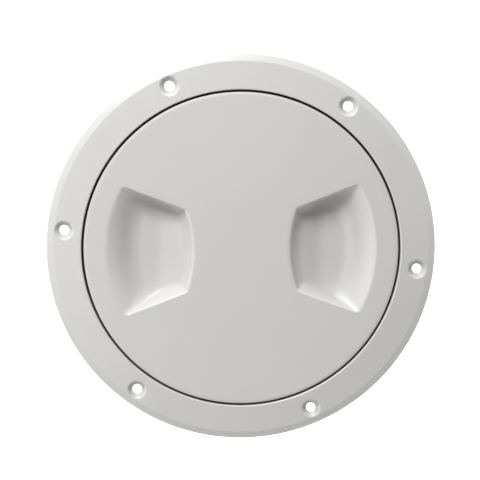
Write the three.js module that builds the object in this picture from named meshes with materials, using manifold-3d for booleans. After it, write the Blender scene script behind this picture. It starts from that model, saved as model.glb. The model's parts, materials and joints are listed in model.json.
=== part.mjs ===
// Round screw-out deck hatch: a moulded ring that is fixed in a deck, a lid with two finger pockets
// that screws into the ring, and the rubber O-ring in the lid's edge. Millimetres, +Z up, origin on
// the axis at the foot of the ring's collar.
import * as THREE from "three";
import { mergeVertices } from "three/addons/utils/BufferGeometryUtils.js";
import Module from "manifold-3d";

const wasm = await Module();
wasm.setup();

// ---------------------------------------------------------------- driving dimensions
const ROUND_STEPS = 60; // facets round every ring
const OVERLAP = 0.3; // how far a joined piece reaches into the one it joins

// Heights above the foot of the collar.
const DECK_Z = 18; // the deck's surface, where the flange's underside rests
const FLANGE_TOP = DECK_Z + 6.5;
const LEDGE_Z = DECK_Z + 1.2; // the floor of the recess that takes the lid
const LID_TOP = FLANGE_TOP - 0.1;
const LID_FOOT = 1.8; // the lower end of the lid's threaded skirt

// Radii of the ring. The flange's top falls a little towards the bevel at its rim.
const FLANGE_RADIUS = 86;
const BEVEL = { radius: 82.8, height: FLANGE_TOP - 1.3, drop: 1.25, rounding: 0.5 };
const RECESS_RADIUS = 70.4;
const COLLAR_RADIUS = 69.3; // passes a 140 mm hole in the deck
const COLLAR_BORE = 66.3;

// The hollow underside of the flange.
const SEALANT_GROOVE = { inner: 70.8, outer: 74.6, depth: 2.0 };
const CELL = { inner: 76.2, outer: 83.2, depth: 3.2 };
const CELL_RIB = { width: 1.5, shortBy: 0.4, betweenScrews: 3 };

// Screw holes. Each has a countersink above and a tubular boss below.
const SCREWS = {
  count: 6,
  circleRadius: 78.4,
  phase: -7, // degrees from +X when the lid is tight with its pockets on the X axis
  radius: 2.15,
  headRadius: 4.3, // where the countersink meets the flange's top
  headTop: FLANGE_TOP - 0.9, // the flange's height there, about
  headDepth: 2.2,
  bossBore: 3.0,
  bossRadius: 5.0,
  steps: 20,
};

// The single-start right-hand thread. With the lid tight its ridge lies just under the ring's ridge,
// along the whole length of both, so the lid comes free after that many turns.
const THREAD = { pitch: 6, turns: 1.5, rootHalf: 1.5, crestHalf: 0.8, height: 2.4, fade: 24 };
const COLLAR_THREAD_Z = 6.5; // middle of the ring's ridge where it starts
const LID_THREAD_Z = COLLAR_THREAD_Z - THREAD.pitch / 2 + 0.3;

// The lid.
const LID_RADIUS = 69.4;
const LID_THICKNESS = 2.8;
const LID_EDGE_FOOT = LEDGE_Z + 0.3;
const SKIRT = { outer: 63.2, inner: 60.6 };
const RELIEF_RADIUS = 65.0; // outer wall of the shallow groove between skirt and edge
const SEAL_GROOVE = { root: 67.2, low: LID_TOP - 3.9, high: LID_TOP - 0.9 };
const RIB = { width: 1.8, foot: 16, angles: [0, 60, 90, 120, 180, 240, 270, 300] };
const HUB = { outer: 9.8, inner: 8.0 };

// A finger pocket, drawn for the one on +X. Its outer side is an arc round the lid's axis, its inner
// side an arc that bulges towards the axis, and two straight sides join them. The floor is level
// under the outer half and rises towards the inner side from `bendX`.
const POCKET = {
  outerRadius: 59.2,
  innerX: 21.2,
  innerRadius: 54,
  nearCorner: new THREE.Vector2(24.3, 18.4), // where a straight side meets the inner arc
  farCorner: new THREE.Vector2(52.5, 29.2), // and the outer arc
  depth: 8.5,
  bendX: 35,
  floorSlope: THREE.MathUtils.degToRad(16),
  wall: 2.4,
};
// Each side of the pocket leans in by `draft` degrees and meets the floor in an arc. The straight
// sides come in less at their shallow inner ends.
const SIDES = {
  outer: { draft: 48, floorRadius: 14 },
  inner: { draft: 22, floorRadius: 5 },
  straight: { draft: 13, floorRadius: 8 },
};
const NEAR_END_SHARE = 0.6;
const CORNER_RADIUS = { top: 2.0, floor: 3.5 };
const POCKET_LEVELS = [0, 0.35, 0.65, 0.86, 0.97, 1]; // shares of the depth

// The O-ring.
const SEAL = { sectionRadius: 1.3, radius: 68.85, steps: 8 };

// ---------------------------------------------------------------- solids

// A three.js geometry as a solid with its faces pointing out.
function solid(geometry) {
  const bare = geometry.clone();
  bare.deleteAttribute("normal");
  bare.deleteAttribute("uv");
  const merged = mergeVertices(bare, 1e-4);
  const make = (triVerts) =>
    new wasm.Manifold(
      new wasm.Mesh({ numProp: 3, vertProperties: merged.attributes.position.array, triVerts }),
    );
  const triangles = new Uint32Array(merged.index.array);
  const made = make(triangles);
  return made.volume() > 0 ? made : make(triangles.reverse());
}

// A solid back as a geometry for a mesh.
function geometryOf(made) {
  const mesh = made.getMesh();
  const geometry = new THREE.BufferGeometry();
  geometry.setAttribute("position", new THREE.BufferAttribute(mesh.vertProperties, 3));
  geometry.setIndex(new THREE.BufferAttribute(mesh.triVerts, 1));
  const flat = geometry.toNonIndexed();
  flat.computeVertexNormals();
  return flat;
}

// [radius, height] pairs turned round Z. A profile off the axis is closed by repeating its first pair.
function turned(profile, steps = ROUND_STEPS) {
  const onAxis = profile[0][0] === 0;
  const points = (onAxis ? profile : [...profile, profile[0]]).map(
    ([radius, height]) => new THREE.Vector2(radius, height),
  );
  return solid(new THREE.LatheGeometry(points, steps).rotateX(Math.PI / 2));
}

function box(length, width, low, high, middleX, angle) {
  const geometry = new THREE.BoxGeometry(length, width, high - low);
  geometry.translate(middleX, 0, (low + high) / 2);
  geometry.rotateZ(angle);
  return solid(geometry);
}

// A ridge of trapezoid section that climbs a cylinder: a long box whose length is wound round Z.
function ridge(rootRadius, crestRadius, startZ) {
  const { pitch, turns, rootHalf, crestHalf, fade } = THREAD;
  const geometry = new THREE.BoxGeometry(1, 1, 1, Math.round(turns * ROUND_STEPS), 1, 1);
  const position = geometry.attributes.position;
  const sweep = turns * 2 * Math.PI;
  for (let i = 0; i < position.count; i++) {
    const along = position.getX(i) + 0.5;
    const angle = along * sweep;
    const fromEnd = Math.min(along, 1 - along) * turns * 360;
    const rise = Math.min(1, 0.15 + (0.85 * fromEnd) / fade); // the ridge's ends run out gently
    const crest = position.getY(i) > 0;
    const radius = crest ? rootRadius + (crestRadius - rootRadius) * rise : rootRadius;
    const half = crest ? crestHalf : rootHalf;
    position.setXYZ(
      i,
      radius * Math.cos(angle),
      radius * Math.sin(angle),
      startZ + pitch * along * turns + Math.sign(position.getZ(i)) * half,
    );
  }
  return solid(geometry);
}

// A closed solid through loops that hold the same number of points, capped at both ends.
function loft(loops) {
  const count = loops[0].length;
  const points = loops.flat();
  const indices = [];
  for (let level = 0; level < loops.length - 1; level++) {
    for (let i = 0; i < count; i++) {
      const a = level * count + i;
      const b = level * count + ((i + 1) % count);
      indices.push(a, b, a + count, b, b + count, a + count);
    }
  }
  const cap = THREE.ShapeUtils.triangulateShape(
    loops[0].map((p) => new THREE.Vector2(p.x, p.y)),
    [],
  );
  const last = (loops.length - 1) * count;
  for (const [a, b, c] of cap) {
    indices.push(c, b, a, last + a, last + b, last + c);
  }
  return solid(new THREE.BufferGeometry().setFromPoints(points).setIndex(indices));
}

// ---------------------------------------------------------------- finger pockets

// How far a side has come in at a share of the depth: a straight drafted wall, then the arc into
// the floor.
function sideRun({ draft, floorRadius }, share) {
  const depth = share * POCKET.depth;
  const lean = THREE.MathUtils.degToRad(draft);
  const arcStart = POCKET.depth - floorRadius * (1 - Math.sin(lean));
  const wallRun = Math.tan(lean) * Math.min(depth, arcStart);
  if (depth <= arcStart) return wallRun;
  const below = (depth - POCKET.depth + floorRadius) / floorRadius;
  return wallRun + floorRadius * (Math.cos(lean) - Math.sqrt(Math.max(0, 1 - below * below)));
}

// The pocket's depth over a point.
function floorDepth(x) {
  return POCKET.depth - Math.max(0, POCKET.bendX - Math.abs(x)) * Math.tan(POCKET.floorSlope);
}

// Where a line from `start` along `direction` crosses a circle about (centreX, 0): the crossing
// further along the line, or the one before it.
function lineMeetsCircle(start, direction, centreX, radius, further) {
  const from = start.clone().setX(start.x - centreX);
  const b = from.dot(direction);
  const root = Math.sqrt(b * b - from.lengthSq() + radius * radius);
  return start.clone().addScaledVector(direction, further ? root - b : -root - b);
}

// The pocket's outline at one level with its corners rounded, as a loop of flat points.
function pocketOutline(runs, cornerRadius) {
  const { outerRadius, innerX, innerRadius, nearCorner, farCorner } = POCKET;
  const innerCentre = innerX + innerRadius;
  const outer = outerRadius - runs.outer;
  const inner = innerRadius - runs.inner;
  const alongRim = farCorner.clone().sub(nearCorner).normalize();
  const inward = new THREE.Vector2(alongRim.y, -alongRim.x);
  const start = nearCorner.clone().addScaledVector(inward, runs.near + cornerRadius);
  const end = farCorner.clone().addScaledVector(inward, runs.far + cornerRadius);
  const along = end.sub(start).normalize();
  // The middle of a corner's arc lies where the sides would meet if they came in by its radius.
  const far = lineMeetsCircle(start, along, 0, outer - cornerRadius, true);
  const near = lineMeetsCircle(start, along, innerCentre, inner - cornerRadius, false);
  const sideAngle = along.angle() + Math.PI / 2;
  const farAngle = far.angle();
  const nearAngle = Math.atan2(near.y, near.x - innerCentre);
  const arcs = [
    [0, 0, outer, 0, farAngle, 5],
    [far.x, far.y, cornerRadius, farAngle, sideAngle, 2],
    [near.x, near.y, cornerRadius, sideAngle, nearAngle, 2],
    [innerCentre, 0, inner, nearAngle, Math.PI, 3],
  ];
  const half = arcs.flatMap(([x, y, radius, from, to, steps]) =>
    Array.from({ length: steps + 1 }, (_, i) => {
      const angle = from + ((to - from) * i) / steps;
      return new THREE.Vector2(x + radius * Math.cos(angle), y + radius * Math.sin(angle));
    }),
  );
  const upper = half.filter((p, i) => i === 0 || p.distanceTo(half[i - 1]) > 1e-6);
  const lower = upper.slice(1, -1).reverse();
  return [...upper, ...lower.map((p) => new THREE.Vector2(p.x, -p.y))];
}

// The pocket as a solid. `grow` moves every wall and the floor outwards, for the cup that holds it.
function pocketSolid(grow, top) {
  const loops = POCKET_LEVELS.map((share) => {
    const straight = sideRun(SIDES.straight, share);
    const runs = {
      outer: sideRun(SIDES.outer, share) - grow,
      inner: NEAR_END_SHARE * sideRun(SIDES.inner, share) - grow,
      near: NEAR_END_SHARE * straight - grow,
      far: straight - grow,
    };
    const corner = CORNER_RADIUS.top + (CORNER_RADIUS.floor - CORNER_RADIUS.top) * share + grow;
    return pocketOutline(runs, corner).map((p) => {
      const z = share === 0 ? top : LID_TOP - share * (floorDepth(p.x) + grow);
      return new THREE.Vector3(p.x, p.y, z);
    });
  });
  return loft(loops);
}

// ---------------------------------------------------------------- the three pieces

function screwAngles() {
  return Array.from({ length: SCREWS.count }, (_, i) =>
    THREE.MathUtils.degToRad(SCREWS.phase + (360 / SCREWS.count) * i),
  );
}

function ringBlank() {
  const groove = DECK_Z + SEALANT_GROOVE.depth;
  const ceiling = DECK_Z + CELL.depth;
  const rim = BEVEL.height - BEVEL.drop;
  const bevelSlope = BEVEL.drop / (FLANGE_RADIUS - BEVEL.radius);
  return turned([
    [FLANGE_RADIUS, DECK_Z],
    [FLANGE_RADIUS, rim - BEVEL.rounding],
    [FLANGE_RADIUS - BEVEL.rounding, rim + bevelSlope * BEVEL.rounding],
    [BEVEL.radius, BEVEL.height],
    [RECESS_RADIUS + 0.6, FLANGE_TOP],
    [RECESS_RADIUS, FLANGE_TOP - 0.6],
    [RECESS_RADIUS, LEDGE_Z],
    [COLLAR_BORE + 0.8, LEDGE_Z],
    [COLLAR_BORE, LEDGE_Z - 0.8],
    [COLLAR_BORE, 0],
    [COLLAR_RADIUS, 0],
    [COLLAR_RADIUS, DECK_Z],
    [SEALANT_GROOVE.inner, DECK_Z],
    [SEALANT_GROOVE.inner, groove],
    [SEALANT_GROOVE.outer, groove],
    [SEALANT_GROOVE.outer, DECK_Z],
    [CELL.inner, DECK_Z],
    [CELL.inner, ceiling],
    [CELL.outer, ceiling],
    [CELL.outer, DECK_Z],
  ]);
}

function cellRibs() {
  const { width, shortBy, betweenScrews } = CELL_RIB;
  const length = CELL.outer - CELL.inner + 2 * OVERLAP;
  const middle = (CELL.outer + CELL.inner) / 2;
  const ceiling = DECK_Z + CELL.depth + OVERLAP;
  const pitch = (2 * Math.PI) / SCREWS.count / (betweenScrews + 1);
  return screwAngles().flatMap((angle) =>
    Array.from({ length: betweenScrews }, (_, i) =>
      box(length, width, DECK_Z + shortBy, ceiling, middle, angle + pitch * (i + 1)),
    ),
  );
}

function atScrews(made) {
  return screwAngles().map((angle) =>
    made.translate([
      SCREWS.circleRadius * Math.cos(angle),
      SCREWS.circleRadius * Math.sin(angle),
      0,
    ]),
  );
}

function frameRing() {
  const { radius, headRadius, headTop, headDepth, bossBore, bossRadius, steps } = SCREWS;
  const ceiling = DECK_Z + CELL.depth;
  const clear = 1; // how far a cut runs past the surface it opens
  const slope = (headRadius - radius) / headDepth;
  const boss = turned(
    [
      [0, DECK_Z],
      [bossRadius, DECK_Z],
      [bossRadius, ceiling + OVERLAP],
      [0, ceiling + OVERLAP],
    ],
    steps,
  );
  const hole = turned(
    [
      [0, DECK_Z - clear],
      [bossBore, DECK_Z - clear],
      [bossBore, ceiling],
      [radius, ceiling],
      [radius, headTop - headDepth],
      [headRadius + slope * clear, headTop + clear],
      [0, headTop + clear],
    ],
    steps,
  );
  const thread = ridge(COLLAR_BORE + OVERLAP, COLLAR_BORE - THREAD.height, COLLAR_THREAD_Z);
  const whole = wasm.Manifold.union([ringBlank(), thread, ...cellRibs(), ...atScrews(boss)]);
  return wasm.Manifold.difference([whole, ...atScrews(hole)]);
}

function lidBlank() {
  const underside = LID_TOP - LID_THICKNESS;
  return turned([
    [0, LID_TOP],
    [LID_RADIUS - 0.6, LID_TOP],
    [LID_RADIUS, LID_TOP - 0.6],
    [LID_RADIUS, SEAL_GROOVE.high],
    [SEAL_GROOVE.root, SEAL_GROOVE.high],
    [SEAL_GROOVE.root, SEAL_GROOVE.low],
    [LID_RADIUS, SEAL_GROOVE.low],
    [LID_RADIUS, LID_EDGE_FOOT],
    [RELIEF_RADIUS, LID_EDGE_FOOT],
    [RELIEF_RADIUS, underside],
    [SKIRT.outer, underside],
    [SKIRT.outer, LID_FOOT],
    [SKIRT.inner, LID_FOOT],
    [SKIRT.inner, underside],
    [0, underside],
  ]);
}

// Ribs from the hub to the skirt. Those on the X axis stop inside the wall of a pocket's cup.
function lidRibs() {
  const high = LID_TOP - LID_THICKNESS + OVERLAP;
  const hub = turned([
    [HUB.outer, RIB.foot],
    [HUB.outer, high],
    [HUB.inner, high],
    [HUB.inner, RIB.foot],
  ]);
  const from = HUB.outer - OVERLAP;
  const ribs = RIB.angles.map((degrees) => {
    const to = degrees % 180 === 0 ? POCKET.innerX - OVERLAP : SKIRT.inner + OVERLAP;
    const angle = THREE.MathUtils.degToRad(degrees);
    return box(to - from, RIB.width, RIB.foot, high, (from + to) / 2, angle);
  });
  return [hub, ...ribs];
}

function lid() {
  const thread = ridge(SKIRT.outer - OVERLAP, SKIRT.outer + THREAD.height, LID_THREAD_Z);
  const cup = pocketSolid(POCKET.wall, LID_TOP - LID_THICKNESS / 2);
  const cavity = pocketSolid(0, LID_TOP);
  const mouth = cavity.add(cavity.translate([0, 0, 1])); // opens the cavity past the lid's top
  const turnedOver = (made) => made.rotate([0, 0, 180]);
  const whole = wasm.Manifold.union([lidBlank(), thread, cup, turnedOver(cup), ...lidRibs()]);
  return wasm.Manifold.difference([whole, mouth, turnedOver(mouth)]);
}

function lidSeal() {
  const middle = (SEAL_GROOVE.low + SEAL_GROOVE.high) / 2;
  const section = Array.from({ length: SEAL.steps }, (_, i) => {
    const angle = (2 * Math.PI * i) / SEAL.steps;
    return [
      SEAL.radius + SEAL.sectionRadius * Math.cos(angle),
      middle + SEAL.sectionRadius * Math.sin(angle),
    ];
  });
  return turned(section);
}

// ---------------------------------------------------------------- the scene

const plastic = { color: 0xd2d1ce, roughness: 0.35, metalness: 0 };
const rubber = { color: 0x141414, roughness: 0.75, metalness: 0 };

function piece(name, made, finish) {
  const mesh = new THREE.Mesh(geometryOf(made), new THREE.MeshStandardMaterial(finish));
  mesh.name = name;
  return mesh;
}

const hatch = new THREE.Group();
hatch.add(
  piece("frame_ring", frameRing(), plastic),
  piece("lid", lid(), plastic),
  piece("lid_seal", lidSeal(), rubber),
);

export default hatch;
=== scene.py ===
"""Round screw-out deck hatch: the looks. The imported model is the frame, and its three nodes are
replaced here by finely made ones: the moulded ring, the moulded lid and the rubber O-ring."""
import json
import math

import bmesh
import bpy
from mathutils import Matrix, Vector
from mathutils.geometry import delaunay_2d_cdt


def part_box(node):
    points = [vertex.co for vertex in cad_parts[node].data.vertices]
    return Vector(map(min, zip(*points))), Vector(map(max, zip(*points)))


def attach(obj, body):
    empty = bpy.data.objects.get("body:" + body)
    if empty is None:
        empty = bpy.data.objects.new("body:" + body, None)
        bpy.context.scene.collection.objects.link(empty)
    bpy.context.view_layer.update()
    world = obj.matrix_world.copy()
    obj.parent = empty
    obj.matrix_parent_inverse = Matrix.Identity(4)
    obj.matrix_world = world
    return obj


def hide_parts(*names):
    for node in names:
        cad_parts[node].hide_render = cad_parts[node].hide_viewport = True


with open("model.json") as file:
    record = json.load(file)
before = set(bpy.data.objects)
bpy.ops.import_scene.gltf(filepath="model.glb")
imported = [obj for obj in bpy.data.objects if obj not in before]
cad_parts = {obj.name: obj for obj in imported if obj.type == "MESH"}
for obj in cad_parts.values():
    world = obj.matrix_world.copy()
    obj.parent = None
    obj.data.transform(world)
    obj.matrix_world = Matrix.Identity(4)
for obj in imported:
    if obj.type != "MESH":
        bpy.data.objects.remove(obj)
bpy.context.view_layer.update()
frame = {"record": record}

MM = 0.001
STEPS = 256  # facets round a full circle
ARC_STEP = math.radians(12)  # turn between the points of a rounded corner
CREASE = math.radians(32)  # edges that bend more than this are shaded crisp
TINY = 1e-9  # places closer than this many metres are the same place
MERGE_DISTANCE = 1e-8  # vertices closer than this many metres become one
JOIN = 0.3 * MM  # how far a joined piece reaches into its neighbour
PAST = 1.0 * MM  # how far a cutting piece reaches past what it cuts

# ---------------------------------------------------------------- sizes taken from the frame

ring_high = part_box("frame_ring")[1]
lid_low, lid_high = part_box("lid")
seal_low, seal_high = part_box("lid_seal")
mounts = {mount["name"]: mount for mount in frame["record"]["mounts"]}

DECK_Z = mounts["deck_seat"]["pos_m"][2]
FLANGE_RADIUS = ring_high[0]
FLANGE_TOP = ring_high[2]
LID_RADIUS = lid_high[0]
LID_TOP = lid_high[2]
LID_FOOT = lid_low[2]
SEAL_SECTION = (seal_high[2] - seal_low[2]) / 2
SEAL_Z = (seal_high[2] + seal_low[2]) / 2
SEAL_RADIUS = seal_high[0] - SEAL_SECTION

# ---------------------------------------------------------------- sizes of the ring

BEVEL_RADIUS = FLANGE_RADIUS - 3.2 * MM  # where the flange's gently sloping top meets its bevel
BEVEL_Z = FLANGE_TOP - 1.3 * MM
RIM_Z = BEVEL_Z - 1.25 * MM  # where the bevel would meet the upright rim, were they not rounded
RECESS_RADIUS = 70.4 * MM
LEDGE_Z = DECK_Z + 1.2 * MM
COLLAR_RADIUS = 69.3 * MM
COLLAR_BORE = 66.3 * MM
COLLAR_CHAMFER = 0.8 * MM

# Two rings are hollowed out of the flange's underside: inner radius, outer radius and depth.
SEALANT_GROOVE = (70.8 * MM, 74.6 * MM, 2.0 * MM)
CELL = (76.2 * MM, 83.2 * MM, 3.2 * MM)
CELL_RIB_WIDTH = 1.5 * MM
CELL_RIB_EDGE = 0.25 * MM
CELL_RIB_RECESS = 0.4 * MM  # the ribs end this far above the deck
CELL_RIBS_PER_SCREW = 3

# How round the ring's edges are, as radii.
EDGE = 0.4 * MM  # most edges of the ring and the lid
RIM_EDGE = 0.7 * MM
BEVEL_EDGE = 3.0 * MM
RECESS_EDGE = 0.6 * MM
COLLAR_EDGE = 0.8 * MM
COLLAR_ROOT = 0.6 * MM
HOLLOW_EDGE = 0.3 * MM  # at the hollows' mouths, the bosses' feet and the ends of their bores
GROOVE_CORNER = 0.5 * MM
CELL_CORNER = 0.6 * MM

SCREWS = 6
SCREW_CIRCLE = 78.4 * MM
SCREW_PHASE = math.radians(-7)
SCREW_HOLE = 2.15 * MM
SCREW_HEAD = 4.3 * MM
SCREW_HEAD_DEPTH = 2.35 * MM
SCREW_HEAD_EDGE = 0.7 * MM
SCREW_HEAD_NARROWER = 0.05 * MM  # the countersink's foot lies this far inside the hole's wall
SCREW_HEAD_STEP = 0.02 * MM  # its rim starts this far below the surface, which isn't quite flat
BOSS_BORE = 3.0 * MM
BOSS_RADIUS = 5.0 * MM

THREAD_PITCH = 6.0 * MM
THREAD_TURNS = 1.5
THREAD_ROOT_HALF = 1.5 * MM
THREAD_CREST_HALF = 0.8 * MM
THREAD_HEIGHT = 2.4 * MM
THREAD_ROUNDING = 0.35 * MM  # how far down from the crest its rounded corners start
THREAD_FADE = math.radians(30)
THREAD_END_SHARE = 0.2  # the share of its height that the thread keeps at its ends
RING_THREAD_Z = 6.5 * MM
THREAD_PLAY = 0.3 * MM
LID_THREAD_Z = RING_THREAD_Z - THREAD_PITCH / 2 + THREAD_PLAY

# ---------------------------------------------------------------- sizes of the lid

LID_THICKNESS = 2.8 * MM
LID_EDGE_FOOT = LEDGE_Z + 0.3 * MM
LID_ROLL_WIDTH = 1.1 * MM  # the lid's top rolls over a little before its corner
LID_ROLL_DROP = 0.3 * MM
LID_ROLL_EDGE = 2.5 * MM
LID_CORNER = 0.3 * MM
SKIRT_OUTER = 63.2 * MM
SKIRT_INNER = 60.6 * MM
RELIEF_RADIUS = 65.0 * MM
RELIEF_CORNER = 0.5 * MM
SKIRT_EDGE = 0.7 * MM
SKIRT_ROOT = 1.0 * MM
SEAL_GROOVE = (67.2 * MM, LID_TOP - 3.9 * MM, LID_TOP - 0.9 * MM)  # root radius, low, high
SEAL_GROOVE_LIP = 0.15 * MM
SEAL_GROOVE_CORNER = 0.2 * MM
RIB_WIDTH = 1.8 * MM
RIB_EDGE = 0.3 * MM
RIB_FOOT = 16 * MM
HUB_OUTER = 9.8 * MM
HUB_INNER = 8.0 * MM
LID_RIB_ANGLES = (0, 60, 90, 120, 180, 240, 270, 300)

# A finger pocket on +X. Its outer side is an arc round the axis, its inner side an arc that bulges
# towards the axis, and two straight sides join them.
POCKET_OUTER_RADIUS = 59.2 * MM
POCKET_INNER_X = 21.2 * MM
POCKET_INNER_RADIUS = 54 * MM
POCKET_NEAR_CORNER = Vector((24.3, 18.4)) * MM
POCKET_FAR_CORNER = Vector((52.5, 29.2)) * MM
POCKET_DEPTH = 8.5 * MM
POCKET_BEND_X = 35 * MM  # the floor is level outside this and rises inside it
POCKET_MIDDLE_X = 42 * MM
POCKET_FLOOR_RISE = math.tan(math.radians(16))
POCKET_BEND_SOFTNESS = 3.0 * MM
POCKET_CROWN = 0.9  # per metre: half of how fast the floor's slope changes across it
POCKET_WALL = 2.4 * MM

# How each side of the pocket runs down: `run` is how far its wall leans in, `cove` how far the
# curve into the floor reaches, `lip` how far the rounding at the top reaches.
OUTER_SIDE = {"run": 9.8 * MM, "cove": 4.8 * MM, "lip": 1.1 * MM}
INNER_SIDE = {"run": 2.3 * MM, "cove": 3.0 * MM, "lip": 1.4 * MM}
FAR_END = {"run": 2.6 * MM, "cove": 6.2 * MM, "lip": 0.7 * MM}
NEAR_END = {"run": 2.1 * MM, "cove": 3.6 * MM, "lip": 0.6 * MM}
TOP_CORNERS = (2.2 * MM, 1.0 * MM)  # radius of the far and near corners at the rim
WALL_CORNERS = (5.5 * MM, 3.0 * MM)  # at the foot of the walls
FLOOR_CORNERS = (4.0 * MM, 1.6 * MM)  # and where the level floor starts
COVE_CLIMB = 1.3  # how far up its wall a curve starts, for each unit it reaches over the floor
LIP_STEP = 0.004 * MM  # keeps the lips just under the lid's flat top, so that the cut is clean

# How finely the pocket is made.
POCKET_CORNER_STEPS = 10
POCKET_STRETCH_STEPS = 18
POCKET_OUTER_STEPS = 26
POCKET_INNER_STEPS = 16
POCKET_LIP_STEPS = 8
POCKET_WALL_STEPS = 6
POCKET_COVE_STEPS = 12
POCKET_FLOOR_SPACING = 0.8 * MM
CUP_FLOOR_SPACING = 2.0 * MM

# ---------------------------------------------------------------- outlines


def arc(centre, radius, start, end, steps):
    """Points on an arc about `centre`, both ends included."""
    turn = (end - start) / steps
    return [
        Vector(centre) + radius * Vector((math.cos(start + turn * i), math.sin(start + turn * i)))
        for i in range(steps + 1)
    ]


def rounded(corners):
    """A closed outline. Each corner is (x, y) or (x, y, radius), and a radius makes it an arc."""
    outline = []
    for i, corner in enumerate(corners):
        here = Vector(corner[:2])
        radius = corner[2] if len(corner) > 2 else 0
        back = (Vector(corners[i - 1][:2]) - here).normalized()
        ahead = (Vector(corners[(i + 1) % len(corners)][:2]) - here).normalized()
        if radius == 0:
            outline.append(here)
            continue
        half = back.angle(ahead) / 2
        centre = here + (back + ahead).normalized() * radius / math.sin(half)
        start = here + back * radius / math.tan(half) - centre
        end = here + ahead * radius / math.tan(half) - centre
        turn = math.pi - 2 * half
        if start.x * end.y - start.y * end.x < 0:
            turn = -turn
        first = math.atan2(start.y, start.x)
        steps = max(2, math.ceil(abs(turn) / ARC_STEP))
        outline += arc(centre, radius, first, first + turn, steps)
    return outline


# ---------------------------------------------------------------- meshes


def new_object(name, mesh):
    made = bpy.data.objects.new(name, mesh)
    bpy.context.scene.collection.objects.link(made)
    return made


def mesh_of(name, vertices, faces):
    """An object from vertices and faces, with its faces turned to point out."""
    mesh = bpy.data.meshes.new(name)
    mesh.from_pydata([tuple(v) for v in vertices], [], faces)
    shape = bmesh.new()
    shape.from_mesh(mesh)
    bmesh.ops.remove_doubles(shape, verts=shape.verts, dist=MERGE_DISTANCE)
    bmesh.ops.recalc_face_normals(shape, faces=shape.faces)
    if shape.calc_volume(signed=True) < 0:
        bmesh.ops.reverse_faces(shape, faces=shape.faces)
    shape.to_mesh(mesh)
    shape.free()
    return new_object(name, mesh)


def turned(name, outline, steps=STEPS):
    """A closed outline of (radius, height) turned round Z."""
    count = len(outline)
    vertices = []
    for i in range(steps):
        angle = 2 * math.pi * i / steps
        vertices += [(r * math.cos(angle), r * math.sin(angle), z) for r, z in outline]
    faces = []
    for i in range(steps):
        here = i * count
        there = (i + 1) % steps * count
        for j in range(count):
            k = (j + 1) % count
            if outline[j][0] < TINY and outline[k][0] < TINY:
                continue
            faces.append([here + j, there + j, there + k, here + k])
    return mesh_of(name, vertices, [without_repeats(f, vertices) for f in faces])


def without_repeats(face, vertices):
    """A quad that touches the axis loses the corner that would repeat."""
    kept = []
    for index in face:
        if not any(same_place(vertices[index], vertices[other]) for other in kept):
            kept.append(index)
    return kept


def same_place(a, b):
    return max(abs(p - q) for p, q in zip(a, b)) < TINY


def lofted(name, loops, extra=(), end_faces=None):
    """A closed solid through loops with as many points each, capped at both ends. `end_faces`
    closes the last loop over the `extra` points, counted on from the loops' own."""
    count = len(loops[0])
    vertices = [p for loop in loops for p in loop] + list(extra)
    faces = []
    for level in range(len(loops) - 1):
        for i in range(count):
            j = (i + 1) % count
            a = level * count
            faces.append([a + i, a + j, a + count + j, a + count + i])
    faces.append(list(range(count)))
    last = (len(loops) - 1) * count
    faces += end_faces or [list(range(last, last + count))]
    return mesh_of(name, vertices, faces)


def block(name, size, middle, angle=0.0, bevel=0.0):
    """A rectangular bar about `middle`, turned round Z by `angle`. `bevel` rounds its edges."""
    shape = bmesh.new()
    bmesh.ops.create_cube(shape, size=1)
    bmesh.ops.scale(shape, vec=size, verts=shape.verts)
    if bevel:
        bmesh.ops.bevel(shape, geom=shape.edges, offset=bevel, segments=3, affect="EDGES")
    bmesh.ops.translate(shape, vec=middle, verts=shape.verts)
    bmesh.ops.rotate(shape, cent=(0, 0, 0), matrix=Matrix.Rotation(angle, 3, "Z"), verts=shape.verts)
    mesh = bpy.data.meshes.new(name)
    shape.to_mesh(mesh)
    shape.free()
    return new_object(name, mesh)


def placed(made, matrix):
    made.data.transform(matrix)
    return made


def copied(made, matrix):
    """A second object whose mesh is the first's, moved."""
    twin = new_object(made.name, made.data.copy())
    return placed(twin, matrix)


def combined(target, others, operation):
    """`target` joined with or cut by each of the others, which are used up."""
    for other in others:
        cut = target.modifiers.new("cut", "BOOLEAN")
        cut.operation = operation
        cut.solver = "MANIFOLD"
        cut.object = other
        evaluated = target.evaluated_get(bpy.context.evaluated_depsgraph_get())
        mesh = bpy.data.meshes.new_from_object(evaluated)
        target.modifiers.clear()
        old = target.data
        target.data = mesh
        bpy.data.meshes.remove(old)
        bpy.data.objects.remove(other)
    return target


def finished(made, name, material, body, node):
    """The last steps of each piece: smooth shading with crisp edges, material, body and node."""
    made.name = name
    made.data.name = name
    made.data.shade_smooth()
    made.data.set_sharp_from_angle(angle=CREASE)
    weighted = made.modifiers.new("weighted_normals", "WEIGHTED_NORMAL")
    weighted.keep_sharp = True
    made.data.materials.clear()
    made.data.materials.append(material)
    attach(made, body)
    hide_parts(node)
    return made


# ---------------------------------------------------------------- the thread


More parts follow.
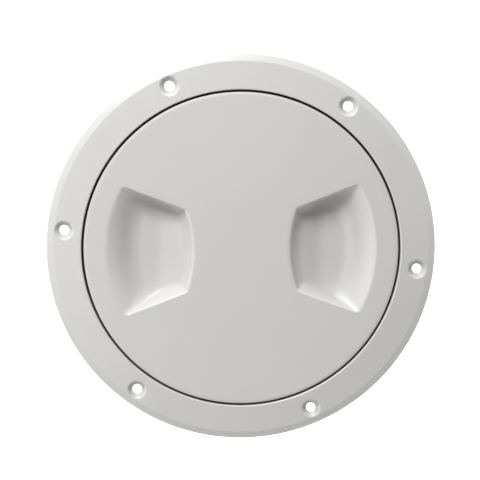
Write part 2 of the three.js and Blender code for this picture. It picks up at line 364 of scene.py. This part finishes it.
def thread_ridge(name, root_radius, crest_radius, start_z):
    """A helical ridge of trapezoid section with rounded crest corners and ends that run down low."""
    sections = round(THREAD_TURNS * STEPS)
    sweep = THREAD_TURNS * 2 * math.pi
    out = crest_radius - root_radius
    crest = THREAD_ROUNDING * (1 if out > 0 else -1)
    # the foot of the lower flank, then three points round the crest's lower corner
    low_half = [
        (0, -THREAD_ROOT_HALF),
        (out - crest, -THREAD_CREST_HALF - 0.12 * MM),
        (out - 0.3 * crest, -THREAD_CREST_HALF + 0.02 * MM),
        (out, -THREAD_CREST_HALF + 0.3 * MM),
    ]
    section = low_half + [(across, -up) for across, up in reversed(low_half)]
    loops = []
    for i in range(sections + 1):
        angle = sweep * i / sections
        from_end = min(angle, sweep - angle)
        ease = min(1.0, from_end / THREAD_FADE)
        rise = THREAD_END_SHARE + (1 - THREAD_END_SHARE) * math.sin(ease * math.pi / 2)
        middle = start_z + THREAD_PITCH * THREAD_TURNS * i / sections
        loop = []
        for across, up in section:
            radius = root_radius + across * rise
            loop.append(Vector((radius * math.cos(angle), radius * math.sin(angle), middle + up)))
        loops.append(loop)
    return lofted(name, loops)


# ---------------------------------------------------------------- the ring


def screw_angles():
    return [SCREW_PHASE + 2 * math.pi * i / SCREWS for i in range(SCREWS)]


def ring_blank():
    """The flange, recess and collar as one turned shape."""
    groove_in, groove_out, groove_depth = SEALANT_GROOVE
    cell_in, cell_out, cell_depth = CELL
    return turned("ring_blank", rounded([
        (FLANGE_RADIUS, DECK_Z, EDGE),
        (FLANGE_RADIUS, RIM_Z, RIM_EDGE),
        (BEVEL_RADIUS, BEVEL_Z, BEVEL_EDGE),
        (RECESS_RADIUS, FLANGE_TOP, RECESS_EDGE),
        (RECESS_RADIUS, LEDGE_Z, EDGE),
        (COLLAR_BORE + COLLAR_CHAMFER, LEDGE_Z, EDGE),
        (COLLAR_BORE, LEDGE_Z - COLLAR_CHAMFER, EDGE),
        (COLLAR_BORE, 0, COLLAR_EDGE),
        (COLLAR_RADIUS, 0, COLLAR_EDGE),
        (COLLAR_RADIUS, DECK_Z, COLLAR_ROOT),
        (groove_in, DECK_Z, HOLLOW_EDGE),
        (groove_in, DECK_Z + groove_depth, GROOVE_CORNER),
        (groove_out, DECK_Z + groove_depth, GROOVE_CORNER),
        (groove_out, DECK_Z, HOLLOW_EDGE),
        (cell_in, DECK_Z, HOLLOW_EDGE),
        (cell_in, DECK_Z + cell_depth, CELL_CORNER),
        (cell_out, DECK_Z + cell_depth, CELL_CORNER),
        (cell_out, DECK_Z, EDGE),
    ]))


def cell_ribs():
    """Short radial ribs that stiffen the hollow under the flange."""
    cell_in, cell_out, cell_depth = CELL
    low = DECK_Z + CELL_RIB_RECESS
    high = DECK_Z + cell_depth + JOIN
    size = (cell_out - cell_in + 2 * JOIN, CELL_RIB_WIDTH, high - low)
    middle = ((cell_in + cell_out) / 2, 0, (low + high) / 2)
    between = 2 * math.pi / SCREWS / (CELL_RIBS_PER_SCREW + 1)
    return [
        block("rib", size, middle, angle + between * i, CELL_RIB_EDGE)
        for angle in screw_angles()
        for i in range(1, CELL_RIBS_PER_SCREW + 1)
    ]


def at_screws(make):
    """One of `make()` at each screw, turned so that its own +X points away from the axis."""
    outward = Matrix.Translation((SCREW_CIRCLE, 0, 0))
    return [placed(make(), Matrix.Rotation(angle, 4, "Z") @ outward) for angle in screw_angles()]


def boss():
    """The round post in the flange's hollow that a screw goes through."""
    top = DECK_Z + CELL[2] + JOIN
    outline = rounded([
        (0, DECK_Z),
        (BOSS_RADIUS, DECK_Z, HOLLOW_EDGE),
        (BOSS_RADIUS, top),
        (0, top),
    ])
    return turned("boss", outline, STEPS // 4)


def screw_bore():
    """The hole through the flange, wider inside the boss."""
    ceiling = DECK_Z + CELL[2]
    outline = rounded([
        (0, DECK_Z - PAST),
        (BOSS_BORE, DECK_Z - PAST),
        (BOSS_BORE, ceiling, HOLLOW_EDGE),
        (SCREW_HOLE, ceiling),
        (SCREW_HOLE, FLANGE_TOP + PAST),
        (0, FLANGE_TOP + PAST),
    ])
    return turned("screw_bore", outline, STEPS // 4)


def countersink():
    """The cone for the screw's head, square to the sloping flange, with a softened rim."""
    outline = rounded([
        (0, -SCREW_HEAD_DEPTH),
        (SCREW_HOLE - SCREW_HEAD_NARROWER, -SCREW_HEAD_DEPTH),
        (SCREW_HEAD, -SCREW_HEAD_STEP, SCREW_HEAD_EDGE),
        (SCREW_HEAD + PAST, -SCREW_HEAD_STEP),
        (SCREW_HEAD + PAST, PAST),
        (0, PAST),
    ])
    made = turned("countersink", outline, STEPS // 4)
    slope = math.atan2(FLANGE_TOP - BEVEL_Z, BEVEL_RADIUS - RECESS_RADIUS)
    share = (SCREW_CIRCLE - RECESS_RADIUS) / (BEVEL_RADIUS - RECESS_RADIUS)
    height = FLANGE_TOP + (BEVEL_Z - FLANGE_TOP) * share
    return placed(made, Matrix.Translation((0, 0, height)) @ Matrix.Rotation(slope, 4, "Y"))


def ring_piece():
    ring = ring_blank()
    thread = thread_ridge(
        "thread", COLLAR_BORE + JOIN, COLLAR_BORE - THREAD_HEIGHT, RING_THREAD_Z
    )
    combined(ring, [thread, *cell_ribs(), *at_screws(boss)], "UNION")
    return combined(ring, [*at_screws(screw_bore), *at_screws(countersink)], "DIFFERENCE")


# ---------------------------------------------------------------- finger pockets


def line_meets_circle(start, along, centre_x, radius, further):
    """Where a line crosses a circle about (centre_x, 0): the crossing further along, or the first."""
    offset = start - Vector((centre_x, 0))
    b = offset.dot(along)
    root = math.sqrt(b * b - offset.length_squared + radius * radius)
    return start + along * (root - b if further else -root - b)


def pocket_outline(runs, corners):
    """The pocket's outline as points, with its sides moved in by `runs` and its corners rounded."""
    inner_centre = POCKET_INNER_X + POCKET_INNER_RADIUS
    outer = POCKET_OUTER_RADIUS - runs["outer"]
    inner = POCKET_INNER_RADIUS - runs["inner"]
    far_corner, near_corner = corners
    rim = (POCKET_FAR_CORNER - POCKET_NEAR_CORNER).normalized()
    inward = Vector((rim.y, -rim.x))
    start = POCKET_NEAR_CORNER + inward * runs["near"]
    end = POCKET_FAR_CORNER + inward * runs["far"]
    along = (end - start).normalized()
    inward = Vector((along.y, -along.x))
    far = line_meets_circle(start + inward * far_corner, along, 0, outer - far_corner, True)
    near = line_meets_circle(
        start + inward * near_corner, along, inner_centre, inner - near_corner, False
    )
    side_angle = math.atan2(along.y, along.x) + math.pi / 2
    far_angle = math.atan2(far.y, far.x)
    near_angle = math.atan2(near.y, near.x - inner_centre)
    far_arc = arc(far, far_corner, far_angle, side_angle, POCKET_CORNER_STEPS)
    near_arc = arc(near, near_corner, side_angle, near_angle, POCKET_CORNER_STEPS)
    shares = [i / POCKET_STRETCH_STEPS for i in range(1, POCKET_STRETCH_STEPS)]
    stretch = [far_arc[-1].lerp(near_arc[0], share) for share in shares]
    half = arc((0, 0), outer, 0, far_angle, POCKET_OUTER_STEPS)[:-1]
    half += far_arc + stretch + near_arc
    half += arc((inner_centre, 0), inner, near_angle, math.pi, POCKET_INNER_STEPS)[1:]
    mirrored = [Vector((p.x, -p.y)) for p in reversed(half[1:-1])]
    return half + mirrored


def pocket_outlines(grow):
    """The outlines where the lip starts, where its wall would meet the lid's top, where the wall
    would meet the floor, and where the curve into the floor ends. `grow` moves them all out."""
    sides = {"outer": OUTER_SIDE, "far": FAR_END, "near": NEAR_END, "inner": INNER_SIDE}
    far_lip = (OUTER_SIDE["lip"] + FAR_END["lip"]) / 2
    near_lip = (INNER_SIDE["lip"] + NEAR_END["lip"]) / 2
    far_top, near_top = TOP_CORNERS
    runs = [
        {name: -side["lip"] - grow for name, side in sides.items()},
        {name: -grow for name in sides},
        {name: side["run"] - grow for name, side in sides.items()},
        {name: side["run"] + side["cove"] - grow for name, side in sides.items()},
    ]
    corners = [(far_top + far_lip, near_top + near_lip), TOP_CORNERS, WALL_CORNERS, FLOOR_CORNERS]
    return [
        pocket_outline(run, [radius + grow for radius in corner])
        for run, corner in zip(runs, corners)
    ]


def pocket_depth(x, y):
    """How deep the floor lies: nearly level in the outer part, rising towards the inner side."""
    inside = POCKET_BEND_X - abs(x)
    soft = POCKET_BEND_SOFTNESS
    level = POCKET_DEPTH - POCKET_CROWN * (y * y + (abs(x) - POCKET_MIDDLE_X) ** 2)
    if inside <= -soft:
        return level
    ramp = inside if inside >= soft else (inside + soft) ** 2 / (4 * soft)
    return level - POCKET_FLOOR_RISE * ramp


def curve_between(start, control, end, steps):
    """Points on a quadratic curve, the last one left out."""
    shares = [i / steps for i in range(steps)]
    return [(1 - t) ** 2 * start + 2 * t * (1 - t) * control + t * t * end for t in shares]


def floor_mesh(edge, spacing):
    """Points inside an outline, in rows, and triangles over them and the outline's own points."""
    outline = [p.to_2d() for p in edge]
    count = len(outline)
    reach = max(p.x for p in outline)
    start = min(p.x for p in outline)
    half = max(p.y for p in outline)
    rows = [
        Vector((start + spacing * i, spacing * j))
        for i in range(1, int((reach - start) / spacing) + 1)
        for j in range(-int(half / spacing), int(half / spacing) + 1)
    ]
    inside = [p for p in rows if min((p - q).length for q in outline) > spacing / 2]
    ring = [(i, (i + 1) % count) for i in range(count)]
    points, _, faces, _, _, _ = delaunay_2d_cdt(outline + inside, ring, [], 1, TINY)
    return points, faces


def pocket_solid(name, grow, top, spacing):
    """The pocket as a closed solid. `grow` moves its walls and floor out, for the cup round it."""
    sections = []
    for edge, rim, foot, level in zip(*pocket_outlines(grow)):
        # x, y and the share of the depth reached there
        places = zip((edge, rim, foot, level), (0, 0, 1, 1))
        start, lip, cove, end = (Vector((*p, share)) for p, share in places)
        wall = math.hypot((foot - rim).length, POCKET_DEPTH)
        start_share = (rim - edge).length / wall
        climb_share = COVE_CLIMB * (level - foot).length / wall
        wall_start = lip.lerp(cove, start_share)
        wall_end = cove.lerp(lip, min(climb_share, 1 - start_share))
        wall_middle = wall_start.lerp(wall_end, 0.5)
        section = curve_between(start, lip, wall_start, POCKET_LIP_STEPS)
        section += curve_between(wall_start, wall_middle, wall_end, POCKET_WALL_STEPS)
        section += curve_between(wall_end, cove, end, POCKET_COVE_STEPS) + [end]
        for point in section:
            point.z = LID_TOP - LIP_STEP - point.z * (pocket_depth(point.x, point.y) + grow)
        sections.append(section)
    loops = [list(loop) for loop in zip(*sections)]
    loops.insert(0, [Vector((p.x, p.y, top)) for p in loops[0]])
    count = len(loops[0])
    last = (len(loops) - 1) * count
    points, triangles = floor_mesh(loops[-1], spacing)
    floor = [
        (p.x, p.y, LID_TOP - LIP_STEP - pocket_depth(p.x, p.y) - grow) for p in points[count:]
    ]
    return lofted(name, loops, floor, [[last + i for i in face] for face in triangles])


# ---------------------------------------------------------------- the lid


def lid_blank():
    """The plate, its edge with the O-ring's groove, and the skirt, as one turned shape."""
    root, groove_low, groove_high = SEAL_GROOVE
    underside = LID_TOP - LID_THICKNESS
    return turned("lid_blank", rounded([
        (0, LID_TOP),
        (LID_RADIUS - LID_ROLL_WIDTH, LID_TOP, LID_ROLL_EDGE),
        (LID_RADIUS, LID_TOP - LID_ROLL_DROP, LID_CORNER),
        (LID_RADIUS, groove_high, SEAL_GROOVE_LIP),
        (root, groove_high, SEAL_GROOVE_CORNER),
        (root, groove_low, SEAL_GROOVE_CORNER),
        (LID_RADIUS, groove_low, SEAL_GROOVE_CORNER),
        (LID_RADIUS, LID_EDGE_FOOT, EDGE),
        (RELIEF_RADIUS, LID_EDGE_FOOT, EDGE),
        (RELIEF_RADIUS, underside, RELIEF_CORNER),
        (SKIRT_OUTER, underside, RELIEF_CORNER),
        (SKIRT_OUTER, LID_FOOT, SKIRT_EDGE),
        (SKIRT_INNER, LID_FOOT, SKIRT_EDGE),
        (SKIRT_INNER, underside, SKIRT_ROOT),
        (0, underside),
    ]))


def lid_ribs():
    """The hub and the ribs from it to the skirt; two of them end in the pockets' cups."""
    high = LID_TOP - LID_THICKNESS + JOIN
    hub = turned("hub", rounded([
        (HUB_OUTER, RIB_FOOT, EDGE),
        (HUB_OUTER, high),
        (HUB_INNER, high),
        (HUB_INNER, RIB_FOOT, EDGE),
    ]), STEPS // 2)
    ribs = [hub]
    start = HUB_OUTER - JOIN
    for degrees in LID_RIB_ANGLES:
        end = POCKET_INNER_X - JOIN if degrees % 180 == 0 else SKIRT_INNER + JOIN
        size = (end - start, RIB_WIDTH, high - RIB_FOOT)
        middle = ((start + end) / 2, 0, (high + RIB_FOOT) / 2)
        ribs.append(block("rib", size, middle, math.radians(degrees), RIB_EDGE))
    return ribs


def lid_piece():
    lid = lid_blank()
    half_turn = Matrix.Rotation(math.pi, 4, "Z")
    cup = pocket_solid("cup", POCKET_WALL, LID_TOP - LID_THICKNESS / 2, CUP_FLOOR_SPACING)
    pocket = pocket_solid("pocket", 0, LID_TOP + PAST, POCKET_FLOOR_SPACING)
    thread = thread_ridge("thread", SKIRT_OUTER - JOIN, SKIRT_OUTER + THREAD_HEIGHT, LID_THREAD_Z)
    twin_cup = copied(cup, half_turn)
    twin_pocket = copied(pocket, half_turn)
    combined(lid, [thread, *lid_ribs(), cup, twin_cup], "UNION")
    return combined(lid, [pocket, twin_pocket], "DIFFERENCE")


# ---------------------------------------------------------------- the O-ring


def seal_piece():
    section = arc((SEAL_RADIUS, SEAL_Z), SEAL_SECTION, 0, 2 * math.pi, 24)[:-1]
    return turned("seal", section)


# ---------------------------------------------------------------- materials

# Each colour is the darkest and the lightest of a faint clouding.
ABS_COLOUR = ((0.6, 0.59, 0.577), (0.615, 0.605, 0.592))
RUBBER_COLOUR = ((0.004, 0.004, 0.004), (0.009, 0.009, 0.009))


def node_tree(name):
    material = bpy.data.materials.new(name)
    material.use_nodes = True
    tree = material.node_tree
    tree.nodes.clear()
    shader = tree.nodes.new("ShaderNodeBsdfPrincipled")
    output = tree.nodes.new("ShaderNodeOutputMaterial")
    tree.links.new(shader.outputs["BSDF"], output.inputs["Surface"])
    coordinates = tree.nodes.new("ShaderNodeTexCoord")
    return material, tree, shader, coordinates.outputs["Object"]


def noise(tree, place, scale, detail, roughness=0.5):
    made = tree.nodes.new("ShaderNodeTexNoise")
    made.inputs["Scale"].default_value = scale
    made.inputs["Detail"].default_value = detail
    made.inputs["Roughness"].default_value = roughness
    tree.links.new(place, made.inputs["Vector"])
    return made.outputs["Fac"]


def mapped(tree, value, low, high):
    """`value` from 0.3 to 0.7, where noise mostly lies, spread from low to high."""
    made = tree.nodes.new("ShaderNodeMapRange")
    made.inputs["From Min"].default_value = 0.3
    made.inputs["From Max"].default_value = 0.7
    made.inputs["To Min"].default_value = low
    made.inputs["To Max"].default_value = high
    tree.links.new(value, made.inputs["Value"])
    return made.outputs["Result"]


def clouded(tree, share, colour):
    """From a colour's darkest to its lightest as `share` goes from 0 to 1."""
    dark, light = colour
    made = tree.nodes.new("ShaderNodeMix")
    made.data_type = "RGBA"
    made.inputs["A"].default_value = (*dark, 1)
    made.inputs["B"].default_value = (*light, 1)
    tree.links.new(share, made.inputs["Factor"])
    return made.outputs["Result"]


def bumped(tree, height, distance, under=None):
    """A normal bent by `height`, on top of the normal `under` if there is one."""
    made = tree.nodes.new("ShaderNodeBump")
    made.inputs["Strength"].default_value = 1.0
    made.inputs["Distance"].default_value = distance
    tree.links.new(height, made.inputs["Height"])
    if under is not None:
        tree.links.new(under, made.inputs["Normal"])
    return made.outputs["Normal"]


def moulded_plastic(name):
    """Glossy moulded ABS: a faint clouding of its colour, a very fine grain, and the slow waviness
    that cooling leaves."""
    material, tree, shader, place = node_tree(name)
    cloud = mapped(tree, noise(tree, place, scale=22, detail=3), low=0, high=1)
    tree.links.new(clouded(tree, cloud, ABS_COLOUR), shader.inputs["Base Color"])
    scuffs = noise(tree, place, scale=160, detail=4, roughness=0.6)
    tree.links.new(mapped(tree, scuffs, low=0.34, high=0.44), shader.inputs["Roughness"])
    waves = bumped(tree, noise(tree, place, scale=38, detail=1), distance=0.06 * MM)
    grain = noise(tree, place, scale=1400, detail=2)
    tree.links.new(bumped(tree, grain, distance=0.003 * MM, under=waves), shader.inputs["Normal"])
    shader.inputs["IOR"].default_value = 1.53
    return material


def black_rubber(name):
    """Nitrile rubber with a dull, slightly mottled skin."""
    material, tree, shader, place = node_tree(name)
    cloud = mapped(tree, noise(tree, place, scale=300, detail=3), low=0, high=1)
    tree.links.new(clouded(tree, cloud, RUBBER_COLOUR), shader.inputs["Base Color"])
    scuffs = noise(tree, place, scale=700, detail=3)
    tree.links.new(mapped(tree, scuffs, low=0.5, high=0.7), shader.inputs["Roughness"])
    grain = noise(tree, place, scale=1800, detail=3)
    tree.links.new(bumped(tree, grain, distance=0.02 * MM), shader.inputs["Normal"])
    shader.inputs["IOR"].default_value = 1.5
    return material


# ---------------------------------------------------------------- the pieces

finished(
    ring_piece(), "ring_moulding", moulded_plastic("ring_abs"),
    "frame", "frame_ring",
)
finished(
    lid_piece(), "lid_moulding", moulded_plastic("lid_abs"),
    "lid", "lid",
)
finished(seal_piece(), "o_ring", black_rubber("nitrile"), "seal", "lid_seal")

# ---------------------------------------------------------------- floor, light and camera

ROOM_RADIUS = 2.4
ROOM_CURVE = 0.4
ROOM_HEIGHT = 0.55
ROOM_STEPS = 96
ROOM_CURVE_STEPS = 16
FLOOR_GLOW = 1.0
WALL_GLOW = 1.9
WORLD_GLOW = 0.02


def paper(name, glow):
    """White backing that also glows, so that shadows on it don't show."""
    material = bpy.data.materials.new(name)
    material.use_nodes = True
    shader = material.node_tree.nodes["Principled BSDF"]
    shader.inputs["Base Color"].default_value = (0.9, 0.9, 0.9, 1)
    shader.inputs["Roughness"].default_value = 0.9
    shader.inputs["Emission Color"].default_value = (1, 1, 1, 1)
    shader.inputs["Emission Strength"].default_value = glow
    return material


def room():
    """A pale floor that curves up into a brighter wall all round."""
    flat = ROOM_RADIUS - ROOM_CURVE
    outline = [Vector((0, 0)), Vector((flat, 0))]
    outline += arc((flat, ROOM_CURVE), ROOM_CURVE, -math.pi / 2, 0, ROOM_CURVE_STEPS)[1:]
    outline.append(Vector((ROOM_RADIUS, ROOM_HEIGHT)))
    vertices = [(0, 0, 0)]
    for i in range(ROOM_STEPS):
        angle = 2 * math.pi * i / ROOM_STEPS
        vertices += [(r * math.cos(angle), r * math.sin(angle), z) for r, z in outline[1:]]
    count = len(outline) - 1
    faces = []
    for i in range(ROOM_STEPS):
        here = 1 + i * count
        there = 1 + (i + 1) % ROOM_STEPS * count
        faces.append([0, here, there])
        faces += [[here + j, here + j + 1, there + j + 1, there + j] for j in range(count - 1)]
    mesh = bpy.data.meshes.new("floor")
    mesh.from_pydata(vertices, [], faces)
    mesh.shade_smooth()
    made = new_object("floor", mesh)
    mesh.materials.append(paper("floor_paper", FLOOR_GLOW))
    mesh.materials.append(paper("wall_paper", WALL_GLOW))
    for face in mesh.polygons:
        rises = face.center.z > MM
        face.material_index = int(rises)


def direction(azimuth, elevation):
    """A unit vector, the azimuth counted in degrees from +X towards +Y."""
    a, e = math.radians(azimuth), math.radians(elevation)
    return Vector((math.cos(e) * math.cos(a), math.cos(e) * math.sin(a), math.sin(e)))


def softbox(name, azimuth, elevation, distance, size, energy):
    """A round light aimed at the axis, level with the flange's top. Angles are in degrees,
    distance and size in metres, and energy in watts."""
    data = bpy.data.lights.new(name, "AREA")
    data.shape = "DISK"
    data.size = size
    data.energy = energy
    lamp = bpy.data.objects.new(name, data)
    aim = direction(azimuth, elevation)
    lamp.location = Vector((0, 0, FLANGE_TOP)) + aim * distance
    lamp.rotation_euler = aim.to_track_quat("Z", "Y").to_euler()
    bpy.context.scene.collection.objects.link(lamp)


def world_light(strength):
    world = bpy.data.worlds.new("world")
    world.use_nodes = True
    background = world.node_tree.nodes["Background"]
    background.inputs["Color"].default_value = (1, 1, 1, 1)
    background.inputs["Strength"].default_value = strength
    bpy.context.scene.world = world


def camera():
    """Almost straight above, leaning a little towards +Y."""
    distance = 0.65
    tilt = 8.7  # degrees from upright
    lean = 98  # azimuth of the lean
    roll = -0.5
    back = direction(lean, 90 - tilt)
    data = bpy.data.cameras.new("camera")
    data.sensor_width = 36
    data.lens = 109.6
    data.shift_x = -0.0021
    data.shift_y = 0.0167
    data.clip_start = 0.01
    made = bpy.data.objects.new("camera", data)
    right = Vector((0, 1, 0)).cross(back).normalized()
    up = back.cross(right)
    turn = Matrix((right, up, back)).transposed().to_4x4()
    turn = turn @ Matrix.Rotation(math.radians(roll), 4, "Z")
    made.matrix_world = Matrix.Translation(Vector((0, 0, DECK_Z)) + back * distance) @ turn
    bpy.context.scene.collection.objects.link(made)
    bpy.context.scene.camera = made


room()
softbox("key", azimuth=110, elevation=36, distance=1.0, size=0.45, energy=10.5)
softbox("left_fill", azimuth=206.6, elevation=56.1, distance=0.602, size=0.3, energy=0.82)
softbox("front_fill", azimuth=270, elevation=59, distance=0.583, size=0.3, energy=0.30)
world_light(WORLD_GLOW)
camera()
bpy.context.scene.view_settings.view_transform = "Standard"
